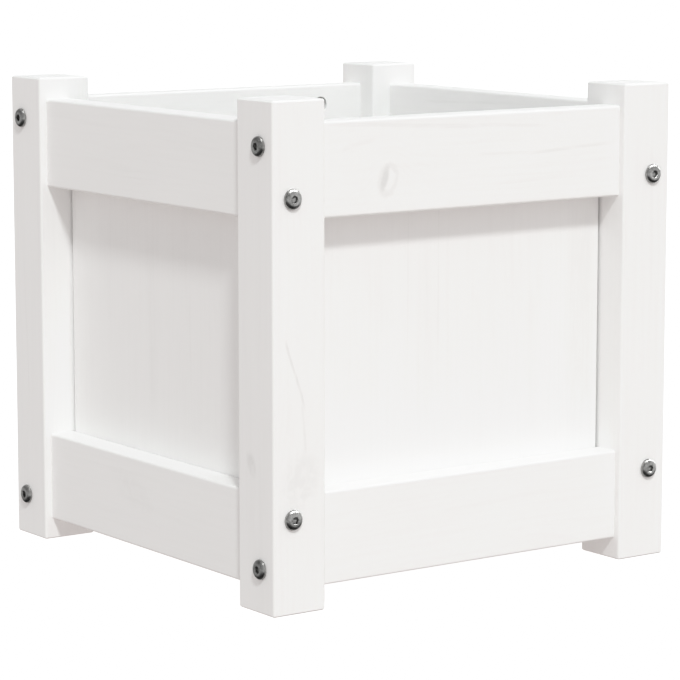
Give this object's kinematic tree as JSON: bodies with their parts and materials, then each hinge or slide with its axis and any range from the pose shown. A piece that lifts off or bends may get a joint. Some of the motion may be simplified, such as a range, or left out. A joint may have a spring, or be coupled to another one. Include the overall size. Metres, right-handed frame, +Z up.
{
  "type": "versailles planter",
  "caption": "Square painted wooden garden planter, open at the top, with corner posts on the ground, framed panel sides, a slatted floor and socket-head bolts in barrel nuts.",
  "frame": {"origin": "centre of the footprint, on the ground under the posts", "axes": "+Z up; the front faces -Y and the left side -X, the two sides that the picture shows"},
  "size_m": [0.3158, 0.3158, 0.31],
  "materials": {
    "painted_pine": "satin white paint",
    "painted_board": "satin white paint",
    "zinc_steel": "zinc plated"
  },
  "bodies": {
    "root": {"barrel_nut_back_bottom_left": "zinc_steel", "barrel_nut_back_bottom_right": "zinc_steel", "barrel_nut_back_top_left": "zinc_steel", "barrel_nut_back_top_right": "zinc_steel", "barrel_nut_front_bottom_left": "zinc_steel", "barrel_nut_front_bottom_right": "zinc_steel", "barrel_nut_front_top_left": "zinc_steel", "barrel_nut_front_top_right": "zinc_steel", "barrel_nut_left_bottom_left": "zinc_steel", "barrel_nut_left_bottom_right": "zinc_steel", "barrel_nut_left_top_left": "zinc_steel", "barrel_nut_left_top_right": "zinc_steel", "barrel_nut_right_bottom_left": "zinc_steel", "barrel_nut_right_bottom_right": "zinc_steel", "barrel_nut_right_top_left": "zinc_steel", "barrel_nut_right_top_right": "zinc_steel", "bolt_back_bottom_left": "zinc_steel", "bolt_back_bottom_right": "zinc_steel", "bolt_back_top_left": "zinc_steel", "bolt_back_top_right": "zinc_steel", "bolt_front_bottom_left": "zinc_steel", "bolt_front_bottom_right": "zinc_steel", "bolt_front_top_left": "zinc_steel", "bolt_front_top_right": "zinc_steel", "bolt_left_bottom_left": "zinc_steel", "bolt_left_bottom_right": "zinc_steel", "bolt_left_top_left": "zinc_steel", "bolt_left_top_right": "zinc_steel", "bolt_right_bottom_left": "zinc_steel", "bolt_right_bottom_right": "zinc_steel", "bolt_right_top_left": "zinc_steel", "bolt_right_top_right": "zinc_steel", "cleat_screw_left_1": "zinc_steel", "cleat_screw_left_2": "zinc_steel", "cleat_screw_right_1": "zinc_steel", "cleat_screw_right_2": "zinc_steel", "floor_cleat_left": "painted_pine", "floor_cleat_right": "painted_pine", "floor_slat_1": "painted_board", "floor_slat_2": "painted_board", "floor_slat_3": "painted_board", "floor_slat_4": "painted_board", "floor_slat_5": "painted_board", "panel_back": "painted_board", "panel_front": "painted_board", "panel_left": "painted_board", "panel_right": "painted_board", "post_back_left": "painted_pine", "post_back_right": "painted_pine", "post_front_left": "painted_pine", "post_front_right": "painted_pine", "rail_back_bottom": "painted_pine", "rail_back_top": "painted_pine", "rail_front_bottom": "painted_pine", "rail_front_top": "painted_pine", "rail_left_bottom": "painted_pine", "rail_left_top": "painted_pine", "rail_right_bottom": "painted_pine", "rail_right_top": "painted_pine"}
  },
  "joints": []
}
